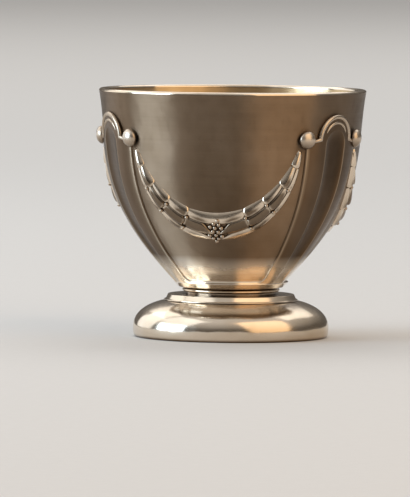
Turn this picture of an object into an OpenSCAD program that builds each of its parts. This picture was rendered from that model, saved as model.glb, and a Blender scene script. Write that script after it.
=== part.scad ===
// Egg cup: a footed silver bowl with three arched panels and three laurel festoons.
// Millimetres, +Z up. The origin is the centre of the face that the foot stands on.
// A festoon hangs at the front, on -Y, and the pattern repeats every third of a turn.

/* [Overall] */
// Outer diameter of the mouth, over the rim wire
rim_d = 50; // [46:0.5:54]
// Height of the whole cup
cup_h = 46.4; // [43:0.2:50]

/* [Bowl] */
// Thickness of the bowl wall
bowl_wall = 0.9; // [0.6:0.1:1.4]
// Thickness of the bowl floor
bowl_floor = 1.2; // [0.8:0.1:2]
// Diameter of the bowl where it sits on the neck
bowl_base_d = 18.2; // [17.8:0.2:20]
// Height of the raised band round the bottom of the bowl
base_band_h = 1.3; // [0.8:0.1:1.8]
// Slope of the wall where it leaves the neck, in degrees
bowl_base_slope = 45; // [38:1:52]
// Slope of the wall at the rim, in degrees
bowl_rim_slope = 80; // [74:1:88]
// Height of the half round wire on the lip
rim_wire_h = 0.5; // [0.4:0.1:1]
// How far the rim wire laps over the wall on each side
rim_wire_lap = 0.05; // [0:0.05:0.2]

/* [Foot] */
// Largest diameter of the foot
foot_d = 36.6; // [33:0.2:40]
// Diameter of the foot at the standing edge
foot_edge_d = 35.6; // [32:0.2:36.4]
// Height of the domed foot
foot_h = 6.8; // [5.5:0.1:8]
// Height of the widest line of the foot
foot_bulge_z = 1.8; // [1.2:0.1:2.4]
// Thickness of the foot wall
foot_wall = 0.9; // [0.6:0.1:1.4]
// Width of the turned-in standing edge
foot_hem_w = 1.6; // [1.2:0.1:2.4]
// Height of the turned-in standing edge
foot_hem_h = 0.8; // [0.5:0.1:1]

/* [Collar and neck] */
// Diameter of the collar at its foot
collar_d = 25; // [23:0.2:27]
// Diameter of the collar at its top
collar_top_d = 23.6; // [22:0.2:24.6]
// Height of the collar
collar_h = 1.2; // [0.8:0.1:2]
// Thickness of the thin fillet line round the foot of the collar
collar_line = 0.3; // [0.2:0.05:0.5]
// Diameter of the plain part of the neck
neck_d = 16.8; // [15.6:0.2:17.4]
// Diameter over the ring round the neck
neck_ring_d = 18.2; // [17.6:0.2:19.2]
// Height of the neck from collar to bowl
neck_h = 1.4; // [1.2:0.1:2]
// Thickness of the ring round the neck
neck_ring_h = 0.8; // [0.6:0.1:1.1]
// Diameter of the spigot that centres the neck in the collar
spigot_d = 13; // [10:0.5:15]

/* [Arched panels] */
// Half of the angle that a panel covers, in degrees
panel_half_angle = 17.3; // [15:0.1:19]
// How far a panel stands out from the bowl
panel_relief = 0.5; // [0.45:0.05:0.6]
// How far the shoulders of a panel lie below the rim
shoulder_drop = 8.7; // [8:0.1:9.4]
// Width of the arch above the shoulders
arch_w = 9.2; // [8:0.1:10]
// Thickness of the roll moulding round the arch
roll_d = 0.9; // [0.6:0.1:1.1]
// Thickness of the fine line that follows the roll inside the arch
fine_line_d = 0.6; // [0.4:0.05:0.7]
// Gap between the roll and the fine line
fine_line_gap = 0.35; // [0.2:0.05:0.4]
// Half of the angle that the flute covers, in degrees
flute_half_angle = 6; // [4:0.1:7]
// How far the top of the flute lies below the rim
flute_drop = 7.2; // [6.6:0.1:8.4]
// Depth of the flute
flute_depth = 0.32; // [0.2:0.02:0.34]
// Radius of the corner where a panel runs into the base band
corner_r = 1.5; // [1:0.1:2]

/* [Beads] */
// Diameter of a bead where it sits on the bowl
bead_d = 3; // [2.4:0.1:3.2]
// How far a bead stands out from the bowl
bead_h = 1.25; // [0.9:0.05:1.4]

/* [Festoons] */
// How far the top ends of a festoon lie below the rim
festoon_drop = 10.7; // [10.4:0.1:11.2]
// How far a festoon sags from its ends to its middle
festoon_sag = 14.2; // [12:0.1:15.2]
// Half of the angle that a festoon spans, in degrees
festoon_half_angle = 39.8; // [37:0.1:40.2]
// Width of the festoon at its middle
festoon_mid_w = 6; // [4.8:0.1:6.6]
// Width of the festoon at its ends
festoon_end_w = 1.1; // [0.9:0.1:2]
// Diameter of a berry
berry_d = 0.75; // [0.75:0.05:1]

/* [Hidden] */

// Solder film between an applied piece and what carries it
seam = 0.04;
// How far a cutter runs past what it cuts
overrun = 1;
// One third of a turn, from one festoon to the next
pattern_turn = 120;

// Facets of the revolved pieces, of the reliefs' skins and cutters, and of small rounds
$fn = 96;
relief_facets = 60;
cutter_facets = 48;
bead_facets = 48;
pocket_facets = 24;
roll_facets = 8;
fine_line_facets = 6;
leaf_facets = 6;
berry_facets = 6;

silver = [0.78, 0.76, 0.71];
bright_silver = [0.86, 0.84, 0.79];
shaded_silver = [0.66, 0.62, 0.55];

// Levels of the stack, from the table up
collar_z = foot_h;
neck_z = collar_z + collar_h;
bowl_z = neck_z + neck_h;
rim_seat_z = cup_h - rim_wire_h;
band_top_z = bowl_z + base_band_h;
shoulder_z = cup_h - shoulder_drop;

// Bowl wall as one cubic curve of radius and height
rim_wire_w = bowl_wall + 2 * rim_wire_lap;
lip_r = rim_d / 2 - rim_wire_lap;
belly_handle_share = 0.66;
rim_handle_share = 0.32;
bowl_rise = rim_seat_z - bowl_z;
bowl_curve = [
    [bowl_base_d / 2, bowl_z],
    [bowl_base_d / 2, bowl_z]
        + belly_handle_share * bowl_rise * [cos(bowl_base_slope), sin(bowl_base_slope)],
    [lip_r, rim_seat_z]
        - rim_handle_share * bowl_rise * [cos(bowl_rim_slope), sin(bowl_rim_slope)],
    [lip_r, rim_seat_z]
];
bowl_steps = 32;

// Point of a cubic curve at t, and its direction there
function curve_at(c, t) =
    pow(1 - t, 3) * c[0] + 3 * t * pow(1 - t, 2) * c[1]
    + 3 * t * t * (1 - t) * c[2] + pow(t, 3) * c[3];
function curve_dir(c, t) =
    let (d = pow(1 - t, 2) * (c[1] - c[0]) + 2 * t * (1 - t) * (c[2] - c[1])
        + t * t * (c[3] - c[2]))
    d / norm(d);

// Point at t that lies lift outside the bowl wall
function wall_point(t, lift) =
    let (d = curve_dir(bowl_curve, t))
    curve_at(bowl_curve, t) + lift * [d.y, -d.x];
function wall_points(t0, t1, lift, steps = bowl_steps) =
    [for (i = [0 : steps]) wall_point(t0 + (t1 - t0) * i / steps, lift)];

// Place along the wall curve, and radius, at a height
heights = [for (i = [0 : bowl_steps]) [curve_at(bowl_curve, i / bowl_steps).y, i / bowl_steps]];
function wall_t(z) = lookup(z, heights);
function wall_r(z) = curve_at(bowl_curve, wall_t(z)).x;
function wall_slope(z) =
    let (d = curve_dir(bowl_curve, wall_t(z)))
    atan2(d.y, d.x);

function reversed(list) = [for (i = [len(list) - 1 : -1 : 0]) list[i]];

// Outline of a skin on the wall, from lift low to lift high
function skin(t0, t1, low, high, steps) =
    concat(wall_points(t0, t1, high, steps), reversed(wall_points(t0, t1, low, steps)));

// Children stand on the bowl wall, with their own Z pointing straight out of it
module on_bowl(angle, z, lift = 0) {
    p = wall_point(wall_t(z), lift);
    rotate([0, 0, angle])
        translate([0, -p.x, p.y])
            rotate([180 - wall_slope(z), 0, 0])
                children();
}

// Solid of the bowl with no hollow, grown outwards, for cutting the backs of the reliefs.
// Its facets lie outside the round wall, so that no relief reaches into the wall.
blank_steps = 18;
facets_outside = 1 / cos(180 / relief_facets);

module bowl_blank(grow) {
    outline = concat(
        [[wall_point(0, grow).x, bowl_z - overrun]],
        wall_points(0, 1, grow, blank_steps),
        [[wall_point(1, grow).x, cup_h + overrun]]);
    rotate_extrude($fn = relief_facets)
        polygon(concat(
            [[0, bowl_z - overrun]],
            [for (p = outline) [p.x * facets_outside, p.y]],
            [[0, cup_h + overrun]]));
}

/* Foot, collar and neck */

// Inner and outer outline of the domed foot
dome_top_handle_share = 0.62;
dome_side_handle_share = 0.5;
dome_steps = 14;
dome_crown_slope = 12;
dome_curve = [
    [foot_d / 2, foot_bulge_z],
    [foot_d / 2, foot_bulge_z + dome_side_handle_share * (foot_h - foot_bulge_z)],
    [collar_d / 2, foot_h]
        + dome_top_handle_share * (foot_d - collar_d) / 2
            * [cos(dome_crown_slope), -sin(dome_crown_slope)],
    [collar_d / 2, foot_h]
];
function dome_point(t, lift) =
    let (d = curve_dir(dome_curve, t))
    curve_at(dome_curve, t) + lift * [d.y, -d.x];
edge_steps = 5;
// Handles of the curve from the standing edge out to the widest line of the foot
edge_out_share = 0.5;
edge_up_share = 0.33;
edge_curve = [
    [foot_edge_d / 2, 0],
    [foot_edge_d / 2 + edge_out_share * (foot_d - foot_edge_d) / 2, 0],
    [foot_d / 2, edge_up_share * foot_bulge_z],
    [foot_d / 2, foot_bulge_z]
];

module foot() {
    hem_r = foot_edge_d / 2 - foot_hem_w;
    color(silver)
        rotate_extrude()
            polygon(concat(
                [[hem_r, 0]],
                [for (i = [0 : edge_steps - 1]) curve_at(edge_curve, i / edge_steps)],
                [for (i = [0 : dome_steps]) dome_point(i / dome_steps, 0)],
                [[0, foot_h], [0, foot_h - foot_wall], [collar_d / 2, foot_h - foot_wall]],
                [for (i = [dome_steps - 1 : -1 : 0]) dome_point(i / dome_steps, -foot_wall)],
                [[hem_r, foot_hem_h]]));
}

module foot_collar() {
    line_d = collar_d - 2 * collar_line;
    color(bright_silver)
        difference() {
            union() {
                translate([0, 0, collar_z])
                    cylinder(d = collar_d, h = collar_line);
                translate([0, 0, collar_z + collar_line])
                    cylinder(d1 = line_d, d2 = collar_top_d, h = collar_h - collar_line);
            }
            translate([0, 0, collar_z - overrun])
                cylinder(d = spigot_d + 2 * seam, h = collar_h + 2 * overrun);
        }
}

// Plain neck above the ring, as a share of all the plain neck
neck_above_share = 0.25;

module neck_ring() {
    ring_z = bowl_z - neck_above_share * (neck_h - neck_ring_h) - neck_ring_h / 2;
    ring_steps = 12;
    neck_r = neck_d / 2;
    bulge = (neck_ring_d - neck_d) / 2;
    color(bright_silver)
        rotate_extrude()
            polygon(concat(
                [[0, collar_z], [spigot_d / 2, collar_z], [spigot_d / 2, neck_z], [neck_r, neck_z]],
                [for (i = [0 : ring_steps])
                    let (a = -90 + 180 * i / ring_steps)
                    [neck_r + bulge * cos(a), ring_z + neck_ring_h / 2 * sin(a)]],
                [[neck_r, bowl_z], [0, bowl_z]]));
}

/* Bowl and rim wire */

floor_z = bowl_z + bowl_floor;
floor_blend_steps = 6;
// Height above the floor at which the wall starts to run into it
floor_blend_share = 0.09;
// Share of the floor's radius that stays flat
floor_flat_share = 0.3;

module bowl() {
    t_band = wall_t(band_top_z);
    band_steps = 2;
    band_foot_r = bowl_base_d / 2 + panel_relief / sin(bowl_base_slope);
    t_blend = wall_t(floor_z + floor_blend_share * bowl_rise);
    inner_end = wall_point(t_blend, -bowl_wall);
    inner_dir = curve_dir(bowl_curve, t_blend);
    corner = [inner_end.x - (inner_end.y - floor_z) * inner_dir.x / inner_dir.y, floor_z];
    flat_end = [corner.x * floor_flat_share, floor_z];
    color(silver)
        rotate_extrude()
            polygon(concat(
                [[0, bowl_z], [band_foot_r, bowl_z]],
                wall_points(t_band / 2, t_band, panel_relief, band_steps),
                wall_points(t_band, 1, 0),
                [[lip_r - bowl_wall / sin(bowl_rim_slope), rim_seat_z]],
                [for (i = [1 : bowl_steps])
                    wall_point(1 + (t_blend - 1) * i / bowl_steps, -bowl_wall)],
                [for (i = [1 : floor_blend_steps])
                    let (s = i / floor_blend_steps)
                    pow(1 - s, 2) * inner_end + 2 * s * (1 - s) * corner + s * s * flat_end],
                [[0, floor_z]]));
}

module rim_wire() {
    wire_steps = 12;
    wire_r = rim_d / 2 - rim_wire_w / 2;
    color(bright_silver)
        rotate_extrude()
            polygon([for (i = [0 : wire_steps])
                let (a = 180 * i / wire_steps)
                [wire_r + rim_wire_w / 2 * cos(a), rim_seat_z + rim_wire_h * sin(a)]]);
}

/* Beads */

// A bead is a flat-backed cap of a ball, centred on the corner of a panel
module bead(angle) {
    ball_r = (pow(bead_d / 2, 2) + pow(bead_h, 2)) / (2 * bead_h);
    reach = acos(1 - bead_h / ball_r);
    cap_steps = 12;
    color(bright_silver)
        on_bowl(angle, shoulder_z, seam)
            rotate_extrude($fn = bead_facets)
                polygon(concat(
                    [[0, 0]],
                    [for (i = [0 : cap_steps])
                        let (a = reach * (1 - i / cap_steps))
                        [ball_r * sin(a), bead_h - ball_r + ball_r * cos(a)]]));
}

/* Arched panels */

// A band of the wall that stands proud of it, within an angle each side of -Y
module proud_band(z0, z1, low, high, half_angle, steps) {
    rotate([0, 0, -90 - half_angle])
        rotate_extrude(angle = 2 * half_angle, $fn = relief_facets)
            polygon(skin(wall_t(z0), wall_t(z1), low, high, steps));
}

// Fills the corner between the side of a panel and the base band
module panel_corner(side) {
    on_bowl(side * panel_half_angle, band_top_z)
        translate([0, 0, -overrun])
            linear_extrude(2 * overrun)
                mirror([side < 0 ? 1 : 0, 0])
                    difference() {
                        translate([-corner_r, -corner_r])
                            square(2 * corner_r);
                        translate([corner_r, corner_r])
                            circle(corner_r, $fn = cutter_facets);
                    }
}

// Middle line of a moulding over the arch, as x and height
arch_steps = 10;
function arch_path(r, from) =
    [for (i = [0 : arch_steps])
        let (a = from + (180 - 2 * from) * i / arch_steps)
        [r * cos(a), shoulder_z + r * sin(a)]];

// The roll runs from shoulder over the arch to shoulder, and is thinner on the shoulders
roll_r = roll_d / 2;
shoulder_end_x = wall_r(shoulder_z) * sin(panel_half_angle) - bead_d / 2;
roll_path = concat(
    [[shoulder_end_x, shoulder_z - roll_r]],
    arch_path(arch_w / 2 - roll_r, 0),
    [[-shoulder_end_x, shoulder_z - roll_r]]
);
shoulder_roll_share = 0.7;
// The fine line follows it inside the arch, and ends above the shoulders
fine_line_start = 15;
fine_line_path = arch_path(arch_w / 2 - roll_d - fine_line_gap - fine_line_d / 2, fine_line_start);
// How deep a moulding is sunk into the panel, as a share of its radius
moulding_sink_share = 0.35;

module moulding_ball(p, r, facets) {
    ball_r = r * (abs(p.x) > arch_w / 2 ? shoulder_roll_share : 1);
    surface = wall_point(wall_t(p.y), panel_relief - moulding_sink_share * r);
    rotate([0, 0, asin(p.x / surface.x)])
        translate([0, -surface.x, surface.y])
            sphere(ball_r, $fn = facets);
}

module moulding(path, r, facets) {
    for (i = [0 : len(path) - 2])
        hull() {
            moulding_ball(path[i], r, facets);
            moulding_ball(path[i + 1], r, facets);
        }
}

// One ball of the flute cutter: it leaves a hollow of the flute's width and depth
flute_steps = 10;
module flute_ball(t) {
    half_w = curve_at(bowl_curve, t).x * sin(flute_half_angle);
    ball_r = (pow(half_w, 2) + pow(flute_depth, 2)) / (2 * flute_depth);
    p = wall_point(t, panel_relief - flute_depth + ball_r);
    translate([0, -p.x, p.y])
        sphere(ball_r, $fn = cutter_facets);
}

module arched_panel(turn) {
    flute_top_z = cup_h - flute_drop - wall_r(shoulder_z) * sin(flute_half_angle);
    flute_t0 = wall_t(band_top_z) / 2;
    flute_t1 = wall_t(flute_top_z);
    strip_steps = 12;
    corner_steps = 3;
    arch_skin_steps = 5;
    arch_top_z = shoulder_z + arch_w / 2;
    color(shaded_silver)
        rotate([0, 0, turn])
            difference() {
                union() {
                    proud_band(band_top_z + seam, shoulder_z, -overrun / 2, panel_relief,
                        panel_half_angle, strip_steps);
                    intersection() {
                        proud_band(band_top_z + seam, band_top_z + 2 * corner_r, -overrun / 2,
                            panel_relief, 2 * panel_half_angle, corner_steps);
                        union() {
                            panel_corner(1);
                            panel_corner(-1);
                        }
                    }
                    intersection() {
                        proud_band(shoulder_z - overrun, arch_top_z + overrun, -overrun / 2,
                            panel_relief, panel_half_angle, arch_skin_steps);
                        translate([0, 0, shoulder_z])
                            rotate([90, 0, 0])
                                cylinder(d = arch_w, h = rim_d, $fn = cutter_facets);
                    }
                    moulding(roll_path, roll_r, roll_facets);
                    moulding(fine_line_path, fine_line_d / 2, fine_line_facets);
                }
                for (i = [0 : flute_steps - 1])
                    hull() {
                        flute_ball(flute_t0 + (flute_t1 - flute_t0) * i / flute_steps);
                        flute_ball(flute_t0 + (flute_t1 - flute_t0) * (i + 1) / flute_steps);
                    }
                for (side = [-1, 1])
                    on_bowl(side * panel_half_angle, shoulder_z, -overrun)
                        cylinder(d = bead_d + 2 * seam, h = overrun + bead_h, $fn = pocket_facets);
                bowl_blank(seam);
            }
}

/* Festoons */

// Middle line of half a festoon as angle and height, from its middle to its end
festoon_end_z = cup_h - festoon_drop;
festoon_mid_z = festoon_end_z - festoon_sag;
festoon_path_shares = [[0, 0], [0.6, 0], [0.905, 0.41], [1, 1]];
festoon_path = [for (s = festoon_path_shares)
    [s.x * festoon_half_angle, festoon_mid_z + s.y * festoon_sag]];
taper_power = 1.8;
function festoon_half_w(t) =
    (festoon_end_w + (festoon_mid_w - festoon_end_w) * (1 - pow(t, taper_power))) / 2;

// Angle and height of a place on the festoon: t along it, v across it from -1 to 1
function festoon_place(t, v) =
    let (p = curve_at(festoon_path, t),
        mm_per_degree = wall_r(p.y) * PI / 180,
        rise = sin(wall_slope(p.y)),
        d = curve_dir(festoon_path, t),
        along = [d.x * mm_per_degree, d.y / rise],
        across = [-along.y, along.x] / norm(along) * v * festoon_half_w(t))
    [p.x + across.x / mm_per_degree, p.y + across.y * rise];

// Children stand on the wall at a place of the festoon; side mirrors it to -1 for -X
module on_festoon(t, v, side, lift) {
    place = festoon_place(t, v);
    on_bowl(side * place.x, place.y, lift)
        children();
}

// Leaves lie in groups: where each group starts along the half festoon, and its rows
group_start_shares = [0, 0.27, 0.49, 0.69, 0.86, 1];
group_rows = [3, 3, 3, 2, 1];
// A leaf goes over a tip, a belly and a base: their places from tip to base, and their
// radii, heights and places across as shares of the row's half width and middle line
leaf_place_shares = [0.05, 0.5, 0.92];
leaf_radius_shares = [0.5, 1.22, 0.95];
leaf_height_shares = [0.66, 0.95, 0.6];
leaf_row_shares = [0.84, 1, 1];
// Radius of the crown of a leaf as a share of its radius at the wall
leaf_crown_share = 0.45;
// How far a leaf reaches under the wall before its back is trimmed
leaf_root = 0.3;
// Thickness of the web that joins the leaves, and its width as a share of the festoon's
web_t = 0.4;
web_width_share = 0.8;
web_steps = 5;

module leaf(t_tip, t_base, row, rows, side) {
    row_place = (2 * row + 1) / rows - 1;
    hull()
        for (i = [0 : len(leaf_place_shares) - 1]) {
            t = min(1, t_tip + leaf_place_shares[i] * (t_base - t_tip));
            row_half_w = festoon_half_w(t) / rows;
            r = leaf_radius_shares[i] * row_half_w;
            on_festoon(t, leaf_row_shares[i] * row_place, side, -leaf_root)
                cylinder(r1 = r, r2 = leaf_crown_share * r,
                    h = leaf_root + leaf_height_shares[i] * row_half_w, $fn = leaf_facets);
        }
}

module web_pad(t, side) {
    on_festoon(t, 0, side, -leaf_root)
        cylinder(r = web_width_share * festoon_half_w(t), h = leaf_root + web_t,
            $fn = leaf_facets);
}

// Berries between the tips of a group, as shares of the half width there
berry_row_shares = [[], [-0.33, 0.33], [-0.33, 0.33], [-0.3], []];
// Berries of the cluster at the middle, as shares of half the width of the festoon
cluster_shares = [
    [0.12, 0.7], [0, 0.44], [-0.34, 0.3], [0.36, 0.3], [0, 0.08],
    [0.1, -0.2], [-0.32, -0.36], [-0.02, -0.52], [0.34, -0.4], [0.08, -0.7]
];
// How far the middle of a berry stands out, as a share of the half width there
berry_lift_share = 0.15;

module festoon(turn) {
    berry_r = berry_d / 2;
    mid_half_w = festoon_mid_w / 2;
    degree_per_mm = 180 / (PI * wall_r(festoon_mid_z));
    color(bright_silver)
        rotate([0, 0, turn])
            difference() {
                union() {
                    for (side = [-1, 1], i = [0 : web_steps - 1])
                        hull() {
                            web_pad(i / web_steps, side);
                            web_pad((i + 1) / web_steps, side);
                        }
                    for (side = [-1, 1], g = [0 : len(group_rows) - 1]) {
                        for (row = [0 : group_rows[g] - 1])
                            leaf(group_start_shares[g], group_start_shares[g + 1],
                                row, group_rows[g], side);
                        for (v = berry_row_shares[g])
                            on_festoon(group_start_shares[g], v, side,
                                    berry_lift_share * festoon_half_w(group_start_shares[g]))
                                sphere(berry_r, $fn = berry_facets);
                    }
                    for (c = cluster_shares)
                        on_bowl(c.x * mid_half_w * degree_per_mm,
                                festoon_mid_z + c.y * mid_half_w * sin(wall_slope(festoon_mid_z)),
                                berry_lift_share * mid_half_w)
                            sphere(berry_r, $fn = berry_facets);
                }
                bowl_blank(seam);
            }
}

/* Assembly */

panel_turn = pattern_turn / 2;
bead_angle = panel_turn - panel_half_angle;
rear_bead_angle = pattern_turn - bead_angle;

foot();
foot_collar();
neck_ring();
bowl();
rim_wire();
arched_panel(panel_turn);  // panel_right
arched_panel(pattern_turn + panel_turn);  // panel_back
arched_panel(-panel_turn);  // panel_left
festoon(0);  // festoon_front
festoon(pattern_turn);  // festoon_rear_right
festoon(-pattern_turn);  // festoon_rear_left
bead(bead_angle);  // bead_front_right
bead(rear_bead_angle);  // bead_side_right
bead(pattern_turn + bead_angle);  // bead_rear_right
bead(-pattern_turn - bead_angle);  // bead_rear_left
bead(-rear_bead_angle);  // bead_side_left
bead(-bead_angle);  // bead_front_left
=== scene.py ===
"""Looks of the silver egg cup: each piece is a fine mesh on the CAD part's own curves."""

import math

import bpy
import numpy as np
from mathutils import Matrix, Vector


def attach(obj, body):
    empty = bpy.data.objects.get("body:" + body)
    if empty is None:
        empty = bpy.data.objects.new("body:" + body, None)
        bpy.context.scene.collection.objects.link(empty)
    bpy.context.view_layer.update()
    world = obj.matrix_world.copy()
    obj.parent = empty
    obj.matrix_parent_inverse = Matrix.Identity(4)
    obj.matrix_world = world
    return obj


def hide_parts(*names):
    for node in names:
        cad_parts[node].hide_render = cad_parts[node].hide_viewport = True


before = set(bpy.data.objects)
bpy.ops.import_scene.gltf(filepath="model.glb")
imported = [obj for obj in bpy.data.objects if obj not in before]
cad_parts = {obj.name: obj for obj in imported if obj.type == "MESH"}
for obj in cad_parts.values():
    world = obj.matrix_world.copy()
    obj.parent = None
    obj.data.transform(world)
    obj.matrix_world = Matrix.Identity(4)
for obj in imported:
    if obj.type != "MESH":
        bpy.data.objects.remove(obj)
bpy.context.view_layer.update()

MM = 0.001
TURN = 120.0

# Sizes of the part, as in its source, in millimetres and degrees
RIM_D, CUP_H = 50.0, 46.4
BOWL_WALL, BOWL_FLOOR, BOWL_BASE_D = 0.9, 1.2, 18.2
BASE_BAND_H, BASE_SLOPE, RIM_SLOPE = 1.3, 45.0, 80.0
WIRE_H, WIRE_LAP = 0.5, 0.05
FOOT_D, FOOT_EDGE_D, FOOT_H, FOOT_BULGE_Z = 36.6, 35.6, 6.8, 1.8
FOOT_WALL, HEM_W, HEM_H = 0.9, 1.6, 0.8
COLLAR_D, COLLAR_TOP_D, COLLAR_H, COLLAR_LINE = 25.0, 23.6, 1.2, 0.3
NECK_D, NECK_RING_D, NECK_H, NECK_RING_H, SPIGOT_D = 16.8, 18.2, 1.4, 0.8, 13.0
PANEL_HALF, PANEL_RELIEF, SHOULDER_DROP = 17.3, 0.5, 8.7
ARCH_W, ROLL_D, FINE_D, FINE_GAP, CORNER_R = 9.2, 0.9, 0.6, 0.35, 1.5
BEAD_D, BEAD_H = 3.0, 1.25
FEST_DROP, FEST_SAG, FEST_HALF = 10.7, 14.2, 39.8
FEST_MID_W, FEST_END_W, BERRY_D = 6.0, 1.1, 0.75
SEAM = 0.04

# The flutes are a little larger than in the source, and the beads stand prouder and wider
FLUTE_HALF, FLUTE_DROP, FLUTE_DEPTH = 6.5, 7.0, 0.46
BEAD_PROUD, BEAD_WIDER = 0.2, 0.19

COLLAR_Z = FOOT_H
NECK_Z = COLLAR_Z + COLLAR_H
BOWL_Z = NECK_Z + NECK_H
RIM_SEAT_Z = CUP_H - WIRE_H
BAND_TOP_Z = BOWL_Z + BASE_BAND_H
SHOULDER_Z = CUP_H - SHOULDER_DROP
LIP_R = RIM_D / 2 - WIRE_LAP
BOWL_RISE = RIM_SEAT_Z - BOWL_Z

# Curves


def polar(length, degrees):
    """A step of a length in a direction."""
    a = math.radians(degrees)
    return length * np.array([math.cos(a), math.sin(a)])


def unit(v):
    """Vectors of length 1 in the same directions."""
    return v / np.linalg.norm(v, axis=-1, keepdims=True)


def quadratic(a, b, c, t):
    """The point at t, from 0 to 1, of the curve from a to c that sets out for b."""
    return (1 - t) ** 2 * a + 2 * t * (1 - t) * b + t * t * c


def cubic(c, t):
    """Points at t, from 0 to 1, of the cubic curve with the four control points c."""
    t = np.asarray(t, float)[..., None]
    return (
        (1 - t) ** 3 * c[0]
        + 3 * t * (1 - t) ** 2 * c[1]
        + 3 * t * t * (1 - t) * c[2]
        + t**3 * c[3]
    )


def cubic_dir(c, t):
    """Unit directions of the same curve."""
    t = np.asarray(t, float)[..., None]
    return unit(
        (1 - t) ** 2 * (c[1] - c[0])
        + 2 * t * (1 - t) * (c[2] - c[1])
        + t * t * (c[3] - c[2])
    )


def beside(curve, t, lift):
    """Points that lie lift to the right of a curve, as seen along it."""
    d = cubic_dir(curve, t)
    n = np.stack([d[..., 1], -d[..., 0]], axis=-1)
    return cubic(curve, t) + np.asarray(lift, float)[..., None] * n


# How far the bowl's curve runs straight on from its ends, in shares of its rise
BASE_PULL, RIM_PULL = 0.66, 0.32
BOWL_FOOT = np.array([BOWL_BASE_D / 2, BOWL_Z])
BOWL_LIP = np.array([LIP_R, RIM_SEAT_Z])
BOWL_CURVE = np.array([
    BOWL_FOOT,
    BOWL_FOOT + polar(BASE_PULL * BOWL_RISE, BASE_SLOPE),
    BOWL_LIP - polar(RIM_PULL * BOWL_RISE, RIM_SLOPE),
    BOWL_LIP,
])
T_TABLE = np.linspace(0, 1, 801)
WALL_TABLE = cubic(BOWL_CURVE, T_TABLE)
Z_TABLE = WALL_TABLE[:, 1]
LENGTH_TABLE = np.concatenate([
    [0], np.cumsum(np.linalg.norm(np.diff(WALL_TABLE, axis=0), axis=1))
])


def wall_t(z):
    """Place along the wall's curve, from 0 to 1, of a height."""
    return np.interp(z, Z_TABLE, T_TABLE)


def wall_length(z):
    """Length along the wall from its foot to a height."""
    return np.interp(z, Z_TABLE, LENGTH_TABLE)


def wall_r(z):
    """Radius of the wall at a height."""
    return cubic(BOWL_CURVE, wall_t(z))[..., 0]


def wall_slope(z):
    """Angle of the wall above the level, in radians."""
    d = cubic_dir(BOWL_CURVE, wall_t(z))
    return np.arctan2(d[..., 1], d[..., 0])


def wall_point(t, lift=0.0):
    """Radius and height of the point that lies lift outside the bowl wall."""
    return beside(BOWL_CURVE, t, lift)


def on_wall(angle, z, lift):
    """Points outside the wall: angle in degrees from -Y towards +X, height, lift."""
    angle, z, lift = np.broadcast_arrays(
        np.asarray(angle, float), np.asarray(z, float), np.asarray(lift, float)
    )
    p = wall_point(wall_t(z), lift)
    a = np.radians(angle)
    x, y = p[..., 0] * np.sin(a), -p[..., 0] * np.cos(a)
    return np.stack([x, y, p[..., 1]], axis=-1)


# Meshes

LIGHT_AND_WEAR = "light_and_wear"  # 1 on an edge painted bright, a painted highlight that is partly rubbed wear, -1 where painted shade darkens a hollow or an underside
ON_AXIS = 1e-6  # a smaller radius counts as a point on the axis
CORNER_SHARE = 0.45  # the most of an outline's edge that the rounding of one end takes
BACK_LIFT = -0.15  # the backs of panels and festoons lie inside the wall


class Shape:
    """Gathers vertices in mm and faces, and turns them into one object in metres."""

    def __init__(self):
        self.verts, self.faces, self.slots, self.sharp, self.light_and_wear = [], [], [], [], []
        self.count = 0

    def add(self, verts, faces, slot=0, sharp=(), light_and_wear=None):
        verts = np.asarray(verts, float).reshape(-1, 3)
        self.verts.append(verts)
        self.light_and_wear.append(np.zeros(len(verts)) if light_and_wear is None else np.ravel(light_and_wear))
        self.faces += [tuple(int(i) + self.count for i in f) for f in faces]
        self.slots += [slot] * len(faces)
        self.sharp += [(int(a) + self.count, int(b) + self.count) for a, b in sharp]
        self.count += len(verts)

    def build(self, name, materials, sharp_degrees):
        mesh = bpy.data.meshes.new(name)
        verts = np.concatenate(self.verts) * MM
        mesh.from_pydata(verts.tolist(), [], self.faces)
        for m in materials:
            mesh.materials.append(m)
        mesh.polygons.foreach_set("material_index", self.slots)
        mesh.polygons.foreach_set("use_smooth", [True] * len(self.faces))
        light_and_wear = np.concatenate(self.light_and_wear)
        if light_and_wear.any():
            mesh.attributes.new(LIGHT_AND_WEAR, "FLOAT", "POINT").data.foreach_set("value", light_and_wear)
        mesh.update()
        mark_sharp(mesh, math.radians(sharp_degrees), self.sharp)
        return in_scene(name, mesh)


def in_scene(name, data):
    obj = bpy.data.objects.new(name, data)
    bpy.context.scene.collection.objects.link(obj)
    return obj


def read(items, field, width=1, kind=int):
    """A field of all the items of one kind in a mesh."""
    values = np.empty(len(items) * width, kind)
    items.foreach_get(field, values)
    return values


def mark_sharp(mesh, limit, extra):
    """Marks as sharp the edges whose faces meet at more than limit, and the extra ones."""
    normals = read(mesh.polygons, "normal", 3, float).reshape(-1, 3)
    loop_edges = read(mesh.loops, "edge_index")
    owner = np.repeat(np.arange(len(mesh.polygons)), read(mesh.polygons, "loop_total"))
    order = np.argsort(loop_edges, kind="stable")
    edges, owner = loop_edges[order], owner[order]
    pair = np.flatnonzero(edges[1:] == edges[:-1])
    dots = (normals[owner[pair]] * normals[owner[pair + 1]]).sum(1)
    sharp = np.zeros(len(mesh.edges), bool)
    sharp[edges[pair[dots < math.cos(limit)]]] = True
    if extra:
        wanted = {(min(e), max(e)) for e in extra}
        for i, e in enumerate(read(mesh.edges, "vertices", 2).reshape(-1, 2)):
            if (min(e), max(e)) in wanted:
                sharp[i] = True
    mesh.attributes.new("sharp_edge", "BOOLEAN", "EDGE").data.foreach_set("value", sharp)


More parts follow.
